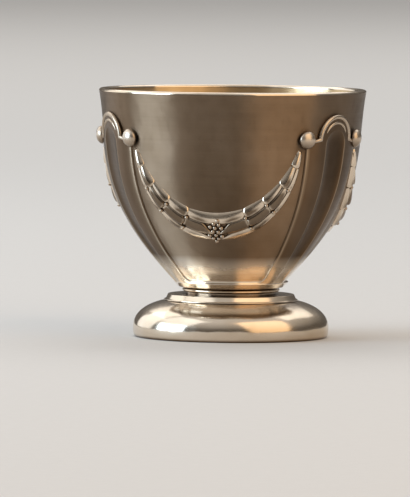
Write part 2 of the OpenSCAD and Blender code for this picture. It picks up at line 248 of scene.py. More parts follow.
def lathe(shape, outline, segments, slot_of=None):
    """Revolves a closed outline of (radius, height) about Z. Points on the axis are poles."""
    outline = np.asarray(outline, float)
    index, verts = [], []
    a = np.arange(segments) * 2 * math.pi / segments
    count = 0
    for r, z in outline:
        if r < ON_AXIS:
            ring = np.array([[0, 0, z]])
        else:
            ring = np.stack([r * np.sin(a), -r * np.cos(a), np.full(segments, z)], axis=1)
        index.append(np.arange(len(ring)) + count)
        verts.append(ring)
        count += len(ring)
    groups = {}
    n = len(outline)
    for i in range(n):
        lo, hi = index[i], index[(i + 1) % n]
        if len(lo) == 1 and len(hi) == 1:
            continue
        slot = slot_of(i) if slot_of else 0
        faces = groups.setdefault(slot, [])
        for k in range(segments):
            m = (k + 1) % segments
            if len(lo) == 1:
                faces.append((lo[0], hi[m], hi[k]))
            elif len(hi) == 1:
                faces.append((lo[k], lo[m], hi[0]))
            else:
                faces.append((lo[k], lo[m], hi[m], hi[k]))
    base = shape.count
    shape.add(np.concatenate(verts), [])
    for slot, faces in groups.items():
        shape.faces += [tuple(int(i) + base for i in f) for f in faces]
        shape.slots += [slot] * len(faces)


def rounded(outline, radius, steps=4, only=None, limit=20.0):
    """Rounds the corners of a closed outline that turn by more than limit degrees."""
    pts = [np.asarray(p, float) for p in outline]
    out = []
    n = len(pts)
    for i, p in enumerate(pts):
        a, b = pts[i - 1] - p, pts[(i + 1) % n] - p
        la, lb = np.linalg.norm(a), np.linalg.norm(b)
        turn = math.degrees(math.acos(max(-1, min(1, -(a @ b) / (la * lb)))))
        if turn < limit or p[0] < ON_AXIS or (only is not None and not only(p)):
            out.append(p)
            continue
        cut = radius * math.tan(math.radians(turn / 2))
        cut = min(cut, CORNER_SHARE * la, CORNER_SHARE * lb)
        start, end = p + a / la * cut, p + b / lb * cut
        out += [quadratic(start, p, end, k / steps) for k in range(steps + 1)]
    return out


def grid_faces(rows, cols, base=0, flip=False):
    """Four-sided faces between the vertices of a grid, the first of which is base."""
    out = []
    for i in range(rows - 1):
        for j in range(cols - 1):
            a = base + i * cols + j
            f = (a, a + 1, a + cols + 1, a + cols)
            out.append(f[::-1] if flip else f)
    return out


def pad(shape, angle, z, lift, slot=0, sharp=(), light_and_wear=None, mirrored=False):
    """A closed body on the wall, from a grid of angles, heights and lifts.

    Rows run along the piece and columns to the right, seen from outside, or to the left
    where mirrored."""
    front, back = on_wall(angle, z, lift), on_wall(angle, z, BACK_LIFT)
    rows, cols = front.shape[:2]
    n = rows * cols
    faces = grid_faces(rows, cols) + grid_faces(rows, cols, n, True)
    for j in range(cols - 1):
        faces.append((j + 1, j, n + j, n + j + 1))
        a = (rows - 1) * cols + j
        faces.append((a, a + 1, n + a + 1, n + a))
    for i in range(rows - 1):
        a = i * cols
        faces.append((a, a + cols, n + a + cols, n + a))
        b = i * cols + cols - 1
        faces.append((b + cols, b, n + b, n + b + cols))
    if mirrored:
        faces = [f[::-1] for f in faces]
    if light_and_wear is not None:
        light_and_wear = np.concatenate([np.ravel(light_and_wear), np.zeros(n)])
    points = np.concatenate([front.reshape(-1, 3), back.reshape(-1, 3)])
    shape.add(points, faces, slot, sharp, light_and_wear)


CAP_RINGS = 4
LEAST_R = 1e-3  # keeps the first and last ring of a tube from closing to a point


def tube(shape, path, radii, sides, slot):
    """A round bar along a path of 3D points, with a radius at each, and rounded ends."""
    path = np.asarray(path, float)
    radii = np.asarray(radii, float)
    d = unit(np.gradient(path, axis=0))
    outwards = unit(path * np.array([1, 1, 0]))
    side = unit(np.cross(d, outwards))
    up = np.cross(side, d)

    def cap_ring(i, way, k):
        a = 0.5 * math.pi * k / CAP_RINGS
        centre = path[i] + way * d[i] * radii[i] * math.cos(a)
        return i, centre, max(radii[i] * math.sin(a), LEAST_R)

    rings = [cap_ring(0, -1, k) for k in range(CAP_RINGS)]
    rings += [(i, path[i], radii[i]) for i in range(len(path))]
    rings += [cap_ring(-1, 1, k) for k in range(CAP_RINGS)][::-1]
    a = np.arange(sides) * 2 * math.pi / sides
    verts = np.concatenate([
        centre + r * (np.outer(np.cos(a), side[i]) + np.outer(np.sin(a), up[i]))
        for i, centre, r in rings
    ])
    faces = []
    for i in range(len(rings) - 1):
        lo, hi = i * sides, (i + 1) * sides
        for k in range(sides):
            m = (k + 1) % sides
            faces.append((lo + m, lo + k, hi + k, hi + m))
    last = (len(rings) - 1) * sides
    faces.append(tuple(range(sides)))
    faces.append(tuple(last + k for k in range(sides))[::-1])
    shape.add(verts, faces, slot)


def ball(shape, centre, radius, slot, rings=8, sides=14):
    """A ball whose rings run from its lowest to its highest point."""
    verts, faces = [[0, 0, -radius]], []
    for i in range(1, rings):
        a = math.pi * i / rings - math.pi / 2
        r, z = radius * math.cos(a), radius * math.sin(a)
        for k in range(sides):
            b = 2 * math.pi * k / sides
            verts.append([r * math.cos(b), r * math.sin(b), z])
    verts.append([0, 0, radius])
    top = len(verts) - 1
    for k in range(sides):
        m = (k + 1) % sides
        faces.append((0, 1 + m, 1 + k))
        for i in range(rings - 2):
            a = 1 + i * sides
            faces.append((a + k, a + m, a + sides + m, a + sides + k))
        a = 1 + (rings - 2) * sides
        faces.append((a + k, a + m, top))
    shape.add(np.asarray(verts) + np.asarray(centre), faces, slot)


# Materials

# Noises: waves to the metre along X, Y and Z, detail, and roughness
FINE_LINES = (60, 60, 3800), 3.0, 0.65
BROAD_LINES = (45, 45, 900), 2.0, 0.5
SOFT_WAVES = (170, 170, 170), 1.0, 0.4
MARKS = (900, 900, 350), 4.0, 0.7
CLOUDS = (75, 75, 60), 3.0, 0.6
FLOOR_GRAIN = (500, 500, 500), 2.0, 0.5

# Ramps from a value to a level, as (place, level) stops
CLOUDS_TO_STAIN = (0.36, 0.0), (0.68, 1.0)
# makes the painted shade and painted highlight marks uneven
CLOUDS_TO_LIGHT_AND_WEAR = (0.3, 0.55), (0.65, 1.0)
MARKS_TO_ROUGH = (0.5, 0.0), (0.75, 1.0)
OPEN_TO_EDGE = (0.48, 1.0), (0.86, 0.0)
OPEN_TO_HOLLOW = (0.35, 1.0), (0.85, 0.0)

# In metres: how far edges and hollows are felt, and the relief of each pattern
EDGE_REACH, HOLLOW_REACH = 0.00055, 0.0009
WAVE_DEPTH, BROAD_DEPTH, LINE_DEPTH, MARK_DEPTH = 0.00018, 0.000006, 0.000005, 0.0000015

# What lines, marks and stains add to the roughness
LINE_ROUGH, MARK_ROUGH, STAIN_ROUGH = 0.2, 0.06, 0.06
MID_NOISE = 0.5

# How much the marks attribute darkens, as painted shade, and brightens, as a painted highlight
# with rubbed wear, at most
SHADE_MOST, SHEEN_AND_RUB_MOST = 0.7, 0.85

# The polished zone at the bowl's foot, whose bright colour is partly painted reflection, ends
# here, in metres, with an uneven border
LOW_Z, LOW_BLEND, LOW_UNEVEN = 0.0135, 0.003, 0.5


def set_stops(ramp, stops):
    """Gives a colour ramp its (place, colour) stops."""
    while len(ramp.elements) < len(stops):
        ramp.elements.new(0.5)
    for e, (place, colour) in zip(ramp.elements, stops):
        e.position = place
        e.color = (*colour, 1.0)


class Nodes:
    """Short names for building a node material."""

    def __init__(self, name):
        self.material = bpy.data.materials.new(name)
        self.material.use_nodes = True
        self.tree = self.material.node_tree
        self.shader = self.tree.nodes["Principled BSDF"]
        self.position = self.new("ShaderNodeTexCoord").outputs["Object"]

    def new(self, kind, **values):
        n = self.tree.nodes.new(kind)
        for key, value in values.items():
            setattr(n, key, value)
        return n

    def link(self, a, b):
        self.tree.links.new(a, b)

    def put(self, socket, value):
        if hasattr(value, "links"):
            self.link(value, socket)
        else:
            socket.default_value = value

    def math(self, operation, a, b=0.0, clamp=False):
        n = self.new("ShaderNodeMath", operation=operation, use_clamp=clamp)
        self.put(n.inputs[0], a)
        self.put(n.inputs[1], b)
        return n.outputs[0]

    def plus(self, base, value, share, clamp=False):
        """The base and a share of the value."""
        return self.math("ADD", base, self.math("MULTIPLY", value, share), clamp)

    def noise(self, waves, detail, roughness):
        scaled = self.new("ShaderNodeVectorMath", operation="MULTIPLY")
        self.link(self.position, scaled.inputs[0])
        scaled.inputs[1].default_value = waves
        n = self.new("ShaderNodeTexNoise")
        self.link(scaled.outputs[0], n.inputs["Vector"])
        n.inputs["Scale"].default_value = 1.0
        n.inputs["Detail"].default_value = detail
        n.inputs["Roughness"].default_value = roughness
        return n.outputs["Fac"]

    def ramp(self, value, stops):
        n = self.new("ShaderNodeValToRGB")
        self.put(n.inputs[0], value)
        set_stops(n.color_ramp, [(place, (level,) * 3) for place, level in stops])
        return n.outputs["Color"]

    def mix(self, amount, a, b):
        n = self.new("ShaderNodeMix", data_type="RGBA")
        self.put(n.inputs[0], amount)
        for socket, value in ((n.inputs[6], a), (n.inputs[7], b)):
            if isinstance(value, tuple):
                value = (*value, 1.0)
            self.put(socket, value)
        return n.outputs[2]

    def openness(self, reach, stops, **values):
        """A level from how open the space within reach is, in front of a face or behind it."""
        n = self.new("ShaderNodeAmbientOcclusion", samples=8, **values)
        n.inputs["Distance"].default_value = reach
        return self.ramp(n.outputs["AO"], stops)

    def bump(self, layers):
        """Chains (height, distance in metres) layers into the shader's normal."""
        last = None
        for height, distance in layers:
            n = self.new("ShaderNodeBump")
            n.inputs["Strength"].default_value = 1.0
            n.inputs["Distance"].default_value = distance
            self.put(n.inputs["Height"], height)
            if last is not None:
                self.link(last, n.inputs["Normal"])
            last = n.outputs["Normal"]
        self.link(last, self.shader.inputs["Normal"])


def silver(
    name, clean, worn, dark, rough, brushed, tarnish,
    wave=1.0, grain=0.0, low=None, patina_and_shade=1.0, rub_and_sheen=None, light_and_wear=None,
):
    """Silver with fine lines round the axis, soft waves, handling marks and dark hollows.

    Tarnish is the share of worn in its clouds, and a second share that of dark in its
    hollows, a darkening that is partly patina and partly painted shade. The edge colour is a
    painted highlight, partly rubbed wear; two colours are those at marks of -1, painted shade,
    and 1, a painted highlight with rubbed wear; and low the roughness and colour of the
    polished zone, whose brightness is partly painted reflection. Brushed and wave scale the
    relief."""
    m = Nodes(name)
    lines = m.noise(*FINE_LINES)
    broad = m.noise(*BROAD_LINES)
    waves = m.noise(*SOFT_WAVES)
    marks = m.noise(*MARKS)
    clouds = m.noise(*CLOUDS)
    stain = m.ramp(clouds, CLOUDS_TO_STAIN)
    colour = m.mix(m.math("MULTIPLY", stain, tarnish), clean, worn)
    # Convex edges take a bright colour: a painted highlight, partly rubbed wear.
    if rub_and_sheen is not None:
        edges = m.openness(EDGE_REACH, OPEN_TO_EDGE, inside=True, only_local=True)
        colour = m.mix(edges, colour, rub_and_sheen)
    # Darker where the space is closed in: partly patina, partly painted shade.
    hollow = m.math("MULTIPLY", m.openness(HOLLOW_REACH, OPEN_TO_HOLLOW), patina_and_shade)
    colour = m.mix(hollow, colour, dark)
    # The mesh's marks: painted shade at -1, a painted highlight with rubbed wear at 1.
    if light_and_wear is not None:
        deep, bright = light_and_wear
        amount = m.new("ShaderNodeAttribute", attribute_name=LIGHT_AND_WEAR).outputs["Fac"]
        uneven = m.ramp(clouds, CLOUDS_TO_LIGHT_AND_WEAR)
        for most, marked_colour in ((-SHADE_MOST, deep), (SHEEN_AND_RUB_MOST, bright)):
            felt = m.math("MULTIPLY", amount, most, clamp=True)
            colour = m.mix(m.math("MULTIPLY", felt, uneven), colour, marked_colour)
    r = rough
    # The polished zone's bright colour is partly painted reflection.
    if low is not None:
        low_rough, low_colour = low
        height = m.new("ShaderNodeSeparateXYZ")
        m.link(m.position, height.inputs[0])
        rise = m.math("SUBTRACT", height.outputs["Z"], LOW_Z)
        rise = m.math("MULTIPLY", rise, 1 / LOW_BLEND)
        rise = m.plus(rise, clouds, LOW_UNEVEN, clamp=True)
        r = m.plus(low_rough, rise, rough - low_rough)
        colour = m.mix(rise, low_colour, colour)
    m.link(colour, m.shader.inputs["Base Color"])
    m.shader.inputs["Metallic"].default_value = 1.0
    m.shader.inputs["Anisotropic"].default_value = grain
    upright = m.new("ShaderNodeCombineXYZ")
    upright.inputs["Z"].default_value = 1.0
    m.link(upright.outputs[0], m.shader.inputs["Tangent"])
    r = m.plus(r, m.math("SUBTRACT", lines, MID_NOISE), LINE_ROUGH * brushed)
    r = m.plus(r, m.ramp(marks, MARKS_TO_ROUGH), MARK_ROUGH)
    r = m.plus(r, stain, STAIN_ROUGH, clamp=True)
    m.link(r, m.shader.inputs["Roughness"])
    m.bump([
        (waves, WAVE_DEPTH * wave),
        (broad, BROAD_DEPTH * brushed),
        (lines, LINE_DEPTH * brushed),
        (marks, MARK_DEPTH),
    ])
    return m.material


SATIN = silver(
    "satin_silver",
    clean=(0.30, 0.218, 0.148), worn=(0.215, 0.144, 0.086), dark=(0.10, 0.06, 0.03),
    rough=0.47, brushed=0.8, tarnish=0.7, grain=1.0, patina_and_shade=0.05,
    # a polished zone, whose bright colour is partly painted reflection
    low=(0.12, (0.86, 0.77, 0.66)),
)
# The same metal as the bowl's satin silver; its darker colour is painted shade.
PANEL = silver(
    "panel_silver",
    clean=(0.165, 0.113, 0.073), worn=(0.12, 0.078, 0.045), dark=(0.10, 0.06, 0.03),
    rough=0.38, brushed=0.6, tarnish=0.7, grain=0.95, patina_and_shade=0.05,
    # a polished zone, whose bright colour is partly painted reflection
    low=(0.18, (0.72, 0.62, 0.50)),
    # painted shade in the flutes, and a painted highlight with rubbed wear on the edges
    light_and_wear=((0.065, 0.04, 0.022), (0.72, 0.59, 0.43)),
)
POLISHED = silver(
    "polished_silver",
    clean=(0.80, 0.69, 0.56), worn=(0.61, 0.485, 0.345), dark=(0.12, 0.07, 0.035),
    rough=0.14, brushed=0.25, tarnish=0.7, wave=1.6,
)
CHASED = silver(
    "chased_silver",
    clean=(0.20, 0.15, 0.105), worn=(0.145, 0.102, 0.066), dark=(0.04, 0.024, 0.013),
    rough=0.15, brushed=0.2, tarnish=0.7, wave=0.6, patina_and_shade=0.85,
    # the edges' painted highlight, partly rubbed wear
    rub_and_sheen=(0.78, 0.665, 0.53),
)
ROUND = silver(
    "round_silver",
    clean=(0.54, 0.45, 0.355), worn=(0.39, 0.30, 0.215), dark=(0.08, 0.048, 0.024),
    rough=0.25, brushed=0.15, tarnish=0.7, wave=0.5, patina_and_shade=0.8,
    # painted shade under the beads and a painted highlight, partly rubbed wear, on their crowns
    light_and_wear=((0.09, 0.055, 0.03), (0.88, 0.80, 0.69)),
)
BERRY = silver(
    "berry_silver",
    clean=(0.50, 0.41, 0.32), worn=(0.37, 0.285, 0.205), dark=(0.09, 0.056, 0.034),
    rough=0.14, brushed=0.1, tarnish=0.6, wave=0.3, patina_and_shade=0.5,
)
RECESS = silver(
    "recess_silver",
    clean=(0.27, 0.20, 0.14), worn=(0.20, 0.14, 0.09), dark=(0.08, 0.052, 0.03),
    rough=0.35, brushed=0.5, tarnish=0.8, patina_and_shade=0.6,
)
GILT = silver(
    "gilt_lining",
    clean=(0.66, 0.495, 0.29), worn=(0.48, 0.33, 0.17), dark=(0.28, 0.17, 0.08),
    rough=0.36, brushed=0.6, tarnish=0.9, wave=2.2, grain=0.85,
)

# Foot, collar and neck

# Shares that shape the dome and the foot's edge, and the dome's slope at the collar
DOME_SIDE, DOME_TOP, DOME_TOP_SLOPE = 0.5, 0.62, -12.0
EDGE_PULL = 0.33
DOME = np.array([
    [FOOT_D / 2, FOOT_BULGE_Z],
    [FOOT_D / 2, FOOT_BULGE_Z + DOME_SIDE * (FOOT_H - FOOT_BULGE_Z)],
    np.array([COLLAR_D / 2, FOOT_H])
    + DOME_TOP * polar((FOOT_D - COLLAR_D) / 2, DOME_TOP_SLOPE),
    [COLLAR_D / 2, FOOT_H],
])
EDGE = np.array([
    [FOOT_EDGE_D / 2, 0.0],
    [(FOOT_EDGE_D + FOOT_D) / 4, 0.0],
    [FOOT_D / 2, EDGE_PULL * FOOT_BULGE_Z],
    [FOOT_D / 2, FOOT_BULGE_Z],
])
HEM_ROUND, COLLAR_ROUND = 0.18, 0.16
RING_DROP = 0.25  # share of the neck's free height that lies above the ring
DOME_POINTS, EDGE_POINTS, RING_POINTS = 40, 12, 20
FOOT_SIDES, NECK_SIDES = 288, 256


def turned(name, outline, sides, sharp_degrees, materials=(POLISHED,), slot_of=None):
    """A piece that is its outline turned about Z."""
    s = Shape()
    lathe(s, outline, sides, slot_of)
    return s.build(name, materials, sharp_degrees)


def make_foot():
    hem_r = FOOT_EDGE_D / 2 - HEM_W
    ts = np.linspace(0, 1, DOME_POINTS)
    outline = [(hem_r, 0.0)]
    outline += [tuple(p) for p in cubic(EDGE, np.linspace(0, 1, EDGE_POINTS)[:-1])]
    outline += [tuple(p) for p in beside(DOME, ts, 0.0)]
    outline += [(0, FOOT_H), (0, FOOT_H - FOOT_WALL), (COLLAR_D / 2, FOOT_H - FOOT_WALL)]
    outline += [tuple(p) for p in beside(DOME, ts[::-1][1:], -FOOT_WALL)]
    outline += [(hem_r, HEM_H)]

    def on_hem(p):
        return p[1] <= HEM_H and p[0] < FOOT_EDGE_D / 2

    outline = rounded(outline, HEM_ROUND, only=on_hem)
    return turned("foot_domed", outline, FOOT_SIDES, sharp_degrees=30)


def make_collar():
    line_r = COLLAR_D / 2 - COLLAR_LINE
    inner = SPIGOT_D / 2 + SEAM
    outline = [
        (inner, COLLAR_Z),
        (COLLAR_D / 2, COLLAR_Z),
        (COLLAR_D / 2, COLLAR_Z + COLLAR_LINE),
        (line_r, COLLAR_Z + COLLAR_LINE),
        (COLLAR_TOP_D / 2, NECK_Z),
        (inner, NECK_Z),
    ]
    outline = rounded(outline, COLLAR_ROUND)
    return turned("foot_collar_polished", outline, FOOT_SIDES, sharp_degrees=35)


def make_neck():
    ring_z = BOWL_Z - RING_DROP * (NECK_H - NECK_RING_H) - NECK_RING_H / 2
    neck_r, bulge = NECK_D / 2, (NECK_RING_D - NECK_D) / 2
    spigot_r = SPIGOT_D / 2
    outline = [(0, COLLAR_Z), (spigot_r, COLLAR_Z), (spigot_r, NECK_Z), (neck_r, NECK_Z)]
    for a in np.radians(np.linspace(-90, 90, RING_POINTS)):
        outline.append((neck_r + bulge * math.cos(a), ring_z + NECK_RING_H / 2 * math.sin(a)))
    outline += [(neck_r, BOWL_Z), (0, BOWL_Z)]
    return turned("neck_ring_polished", outline, NECK_SIDES, sharp_degrees=35)


# Bowl and rim

BLEND_RISE = 0.09  # share of the bowl's rise over which the inner wall runs into the floor
FLAT_SHARE = 0.3  # share of the floor's radius that is flat
BOWL_SIDES, WALL_POINTS, BAND_POINTS, FLOOR_STEPS, WIRE_POINTS = 360, 90, 5, 18, 25
BAND_ROUND = 0.22
WIRE_SET_IN = 0.01  # how far the wire stays inside the rim's diameter
SPARE = 1e-3  # for telling whether a point lies on the band


def make_bowl():
    t_band = wall_t(BAND_TOP_Z)
    foot_r = BOWL_BASE_D / 2 + PANEL_RELIEF / math.sin(math.radians(BASE_SLOPE))
    outer = [(0, BOWL_Z), (foot_r, BOWL_Z)]
    band = wall_point(np.linspace(t_band / 2, t_band, BAND_POINTS), PANEL_RELIEF)
    wall = wall_point(np.linspace(t_band, 1, WALL_POINTS))
    outer += [tuple(p) for p in (*band, *wall)]

    def on_band(p):
        return p[0] > foot_r - SPARE and p[1] < BAND_TOP_Z + SPARE

    outer = rounded(outer, BAND_ROUND, steps=5, only=on_band, limit=15)

    floor_z = BOWL_Z + BOWL_FLOOR
    t_blend = wall_t(floor_z + BLEND_RISE * BOWL_RISE)
    blend = wall_point(t_blend, -BOWL_WALL)
    d = cubic_dir(BOWL_CURVE, t_blend)
    corner = np.array([blend[0] - (blend[1] - floor_z) * d[0] / d[1], floor_z])
    flat = np.array([corner[0] * FLAT_SHARE, floor_z])
    inner = [(LIP_R - BOWL_WALL / math.sin(math.radians(RIM_SLOPE)), RIM_SEAT_Z)]
    wall = wall_point(np.linspace(1, t_blend, WALL_POINTS + 1)[1:], -BOWL_WALL)
    inner += [tuple(p) for p in wall]
    for k in range(1, FLOOR_STEPS + 1):
        inner.append(tuple(quadratic(blend, corner, flat, k / FLOOR_STEPS)))
    inner += [(0, floor_z)]

    outline = outer + inner
    gilt = range(len(outer), len(outline) - 1)
    return turned(
        "bowl_shell", outline, BOWL_SIDES, sharp_degrees=40,
        materials=(SATIN, GILT), slot_of=lambda i: 1 if i in gilt else 0,
    )


def make_rim():
    w = BOWL_WALL + 2 * WIRE_LAP
    mid = RIM_D / 2 - w / 2 - WIRE_SET_IN
    outline = [
        (mid + w / 2 * math.cos(a), RIM_SEAT_Z + WIRE_H * math.sin(a))
        for a in np.radians(np.linspace(0, 180, WIRE_POINTS))
    ]
    return turned("rim_wire_polished", outline, BOWL_SIDES, sharp_degrees=50)


# Beads

BEAD_SIDES, BEAD_POINTS = 48, 20
BEAD_BELLY = 0.25  # share of the height at which a bead is widest
BEAD_TUCK = 4  # degrees by which its outline goes on below that
# Painted light on a bead: painted shade on its lower side and round its seat, and a painted
# highlight, partly rubbed wear, on its crown
UNDER_POWER, SEAT_FADE = 0.8, 2.2
CROWN_RISE, CROWN_START, CROWN_LEAN = 1.2, 0.5, 0.7


def make_bead(name, angle):
    """A bead with a painted highlight, partly rubbed wear, on top, and painted shade on its
    lower half and round its seat.
    """
    high = BEAD_H + BEAD_PROUD
    wide = BEAD_D / 2 + BEAD_WIDER
    outline = [(0.0, 0.0)]
    for a in np.radians(np.linspace(-BEAD_TUCK, 90, BEAD_POINTS)):
        h = BEAD_BELLY * high + (1 - BEAD_BELLY) * high * math.sin(a)
        outline.append((wide * math.cos(a), h))
    outline[-1] = (0.0, high)
    s = Shape()
    lathe(s, outline, BEAD_SIDES)
    points = np.concatenate(s.verts)
    rise, out = points[:, 1] / wide, points[:, 2] / high
    under = np.clip(-rise, 0, 1) ** UNDER_POWER
    seat = np.clip(1 - SEAT_FADE * out, 0, 1)
    crown = np.clip(CROWN_RISE * out - CROWN_START, 0, 1) * np.clip(CROWN_LEAN + rise, 0, 1)
    # Painted highlight on the crown, painted shade below and round the seat.
    s.light_and_wear = [crown - np.maximum(under, seat)]
    s.verts = [stand_on_wall(points, angle, SHOULDER_Z, SEAM)]
    return s.build(name, [ROUND], sharp_degrees=50)


def stand_on_wall(points, angle, z, lift):
    """Places points so that their own Z points straight out of the wall."""
    p = wall_point(wall_t(z), lift)
    tilt = math.pi - wall_slope(z)
    x, y, h = points[:, 0], points[:, 1], points[:, 2]
    y2 = y * math.cos(tilt) - h * math.sin(tilt) - p[0]
    z2 = y * math.sin(tilt) + h * math.cos(tilt) + p[1]
    a = math.radians(angle)
    x3 = x * math.cos(a) - y2 * math.sin(a)
    y3 = x * math.sin(a) + y2 * math.cos(a)
    return np.stack([x3, y3, z2], axis=1)


# Arched panels

ROLL_R = ROLL_D / 2
PLATE_R = ARCH_W / 2 - ROLL_R
FINE_R = ARCH_W / 2 - ROLL_D - FINE_GAP - FINE_D / 2

FLUTE_TOP_Z = CUP_H - FLUTE_DROP
FLUTE_END_W = float(wall_r(SHOULDER_Z)) * math.sin(math.radians(FLUTE_HALF))
FLUTE_FADE, FLUTE_LEAST = 4.0, 0.25  # the depth grows over this height, from this share
FLUTE_POWER = 2.8  # a higher power makes the flute's floor flatter
FLUTE_POINTS = 13
FLUTE_MOST = 0.9  # the most of the half plate's width that the flute takes
LEAST_SQUARE = 0.0004  # keeps the flute's end from closing to a point

# The lower plate's edge: places beyond the panel's width with their lifts, then degrees
# round the bevel with the bright marks there, a painted highlight that is partly rubbed wear
BEVEL_W, BEVEL_OUT = 0.45, 0.08
SKIRT = ((0.12, BACK_LIFT + 0.02), (BEVEL_OUT, -0.02))
BEVEL_STEPS = ((15, 0), (35, 0), (55, 0.2), (72, 0.65), (90, 0.3))
BORDER_STEPS = (0.12, 0.25, 0.4, 0.55, 0.7, 0.84, 0.94, 1)  # shares of the way to the flute
BORDER_FALL, CORNER_FALL = 0.22, 0.14  # the border falls off to its edge, more at corners
ARRIS = len(SKIRT) + len(BEVEL_STEPS) + len(BORDER_STEPS) - 1  # column at the flute's edge
# The flute's arris is painted bright: a painted highlight, partly rubbed wear.
ARRIS_SHEEN_AND_RUB = 0.6

# The lower plate starts below the base band's top, sunk in it, with close rows at first
TUCK_H, TUCK_SINK, CLOSE_H = 0.25, 0.12, 1.3
CLOSE_ROWS, PLATE_ROWS, ARCH_ROWS = 24, 92, 34
ARCH_SHARE = 0.985  # the arch plate stops this far up under the roll

BAR_SIDES, ROLL_POINTS, ROLL_END_POINTS, FINE_POINTS = 16, 73, 9, 61
BAR_SUNK = 0.45  # share of its radius by which a bar's middle lies under the plate's face
ROLL_UNDER_BEAD = 0.3  # how far the roll's ends run in under the beads
ROLL_THIN = 0.3  # how much thinner they get, as a share
FINE_FROM, FINE_FADE, FINE_LEAST = 12, 50, 0.25  # start and fade in degrees, least share


def flute_at(z):
    """Half width and depth of the flute at a height."""
    q = np.clip((z - (FLUTE_TOP_Z - FLUTE_END_W)) / FLUTE_END_W, 0, 1)
    half = wall_r(z) * math.sin(math.radians(FLUTE_HALF))
    fade = np.clip((z - BAND_TOP_Z) / FLUTE_FADE, 0, 1)
    fade = FLUTE_LEAST + (1 - FLUTE_LEAST) * fade * (2 - fade)
    return half * np.sqrt(np.clip(1 - q * q, LEAST_SQUARE, 1)), FLUTE_DEPTH * (1 - q * q) * fade


def both_halves(values, sign=1):
    """The values of a left half, from the edge to the middle, then those of the right."""
    values = np.array(values)
    return np.concatenate([sign * values, values[-2::-1]])


def panel_row(z, half, bevel, border_fall):
    """Places across a panel at a height, in mm along the wall, and lifts and marks there:
    painted shade in the flute, and a painted highlight with rubbed wear on the bevel and the
    arris.
    """
    flute_w, depth = flute_at(z)
    if bevel:
        x = [half + out for out, _ in SKIRT]
        lift = [out_lift for _, out_lift in SKIRT]
        light_and_wear = [0] * len(SKIRT)
        edge_lift = PANEL_RELIEF - border_fall
        for degrees, rub_and_sheen in BEVEL_STEPS:
            a = math.radians(degrees)
            x.append(half + BEVEL_OUT - (bevel + BEVEL_OUT) * (1 - math.cos(a)))
            lift.append(edge_lift * math.sin(a))
            # the bevel's bright marks: painted highlight, partly rubbed wear
            light_and_wear.append(rub_and_sheen)
    else:
        x, lift, light_and_wear = [half], [PANEL_RELIEF], [0]
    inner = min(float(flute_w), FLUTE_MOST * x[-1])
    share = float(depth) / FLUTE_DEPTH
    for f in BORDER_STEPS:
        x.append((1 - f) * (half - bevel) + f * inner)
        lift.append(PANEL_RELIEF - border_fall * (1 - f) ** 2)
        # A bright line on the arris: painted highlight, partly rubbed wear.
        light_and_wear.append(ARRIS_SHEEN_AND_RUB * share if f == 1 else 0)
    for f in np.linspace(1, 0, FLUTE_POINTS)[1:]:
        x.append(inner * f)
        sunk = max(0.0, 1 - abs(inner * f / float(flute_w)) ** FLUTE_POWER)
        lift.append(PANEL_RELIEF - float(depth) * sunk)
        # The flute's hollow darkens: painted shade.
        light_and_wear.append(-share * sunk**0.5)
    return both_halves(x, -1), both_halves(lift), both_halves(light_and_wear)


def plate(s, turn, rows, arris=None, straight_on=False):
    """A plate from rows of (height, half width, bevel, fall of the border, sink).

    Widths run round the wall, or lie as they look from straight on. Where arris is given,
    the edges in that column and its mirror image are sharp."""
    grid = []
    for z, half, bevel, fall, sink in rows:
        x, lift, light_and_wear = panel_row(z, half, bevel, fall)
        x = x / float(wall_r(z))
        angle = turn + np.degrees(np.arcsin(x) if straight_on else x)
        grid.append((angle, np.full(len(x), z), lift - sink, light_and_wear))
    angle, z, lift, light_and_wear = np.swapaxes(grid, 0, 1)
    sharp, cols = [], angle.shape[1]
    if arris is not None:
        for i in range(len(rows) - 1):
            for j in (arris, cols - 1 - arris):
                sharp.append((i * cols + j, (i + 1) * cols + j))
    pad(s, angle, z, lift, 0, sharp, light_and_wear)


def lower_rows():
    """Rows from the base band to the shoulders, which widen to round lower corners."""
    close_z = BAND_TOP_Z + CLOSE_H
    close = np.linspace(BAND_TOP_Z - TUCK_H, close_z, CLOSE_ROWS)
    plain = np.linspace(close_z, SHOULDER_Z, PLATE_ROWS)
    rows = []
    for z in np.concatenate([close, plain[1:]]):
        rise = max(0.0, float(wall_length(z)) - float(wall_length(BAND_TOP_Z)))
        extra = 0.0
        if rise < CORNER_R:
            extra = CORNER_R - math.sqrt(CORNER_R**2 - (CORNER_R - rise) ** 2)
        half = math.radians(PANEL_HALF) * float(wall_r(z)) + extra
        fall = BORDER_FALL + CORNER_FALL * extra / CORNER_R
        rows.append((z, half, BEVEL_W, fall, TUCK_SINK if z < BAND_TOP_Z else 0.0))
    return rows


def arch_rows():
    """Rows of the half round plate above the shoulders."""
    rows = []
    for f in np.linspace(0, 1, ARCH_ROWS):
        z = SHOULDER_Z + ARCH_SHARE * PLATE_R * math.sin(f * math.pi / 2)
        rows.append((z, math.sqrt(PLATE_R**2 - (z - SHOULDER_Z) ** 2), 0.0, 0.0, 0.0))
    return rows


def bar(s, turn, xs, zs, radii):
    """A round moulding that is sunk in the plate, through places seen from straight on."""
    lift = PANEL_RELIEF - BAR_SUNK * radii.max()
    r = wall_point(wall_t(zs), lift)[:, 0]
    path = on_wall(turn + np.degrees(np.arcsin(xs / r)), zs, lift)
    tube(s, path, radii, BAR_SIDES, 1)


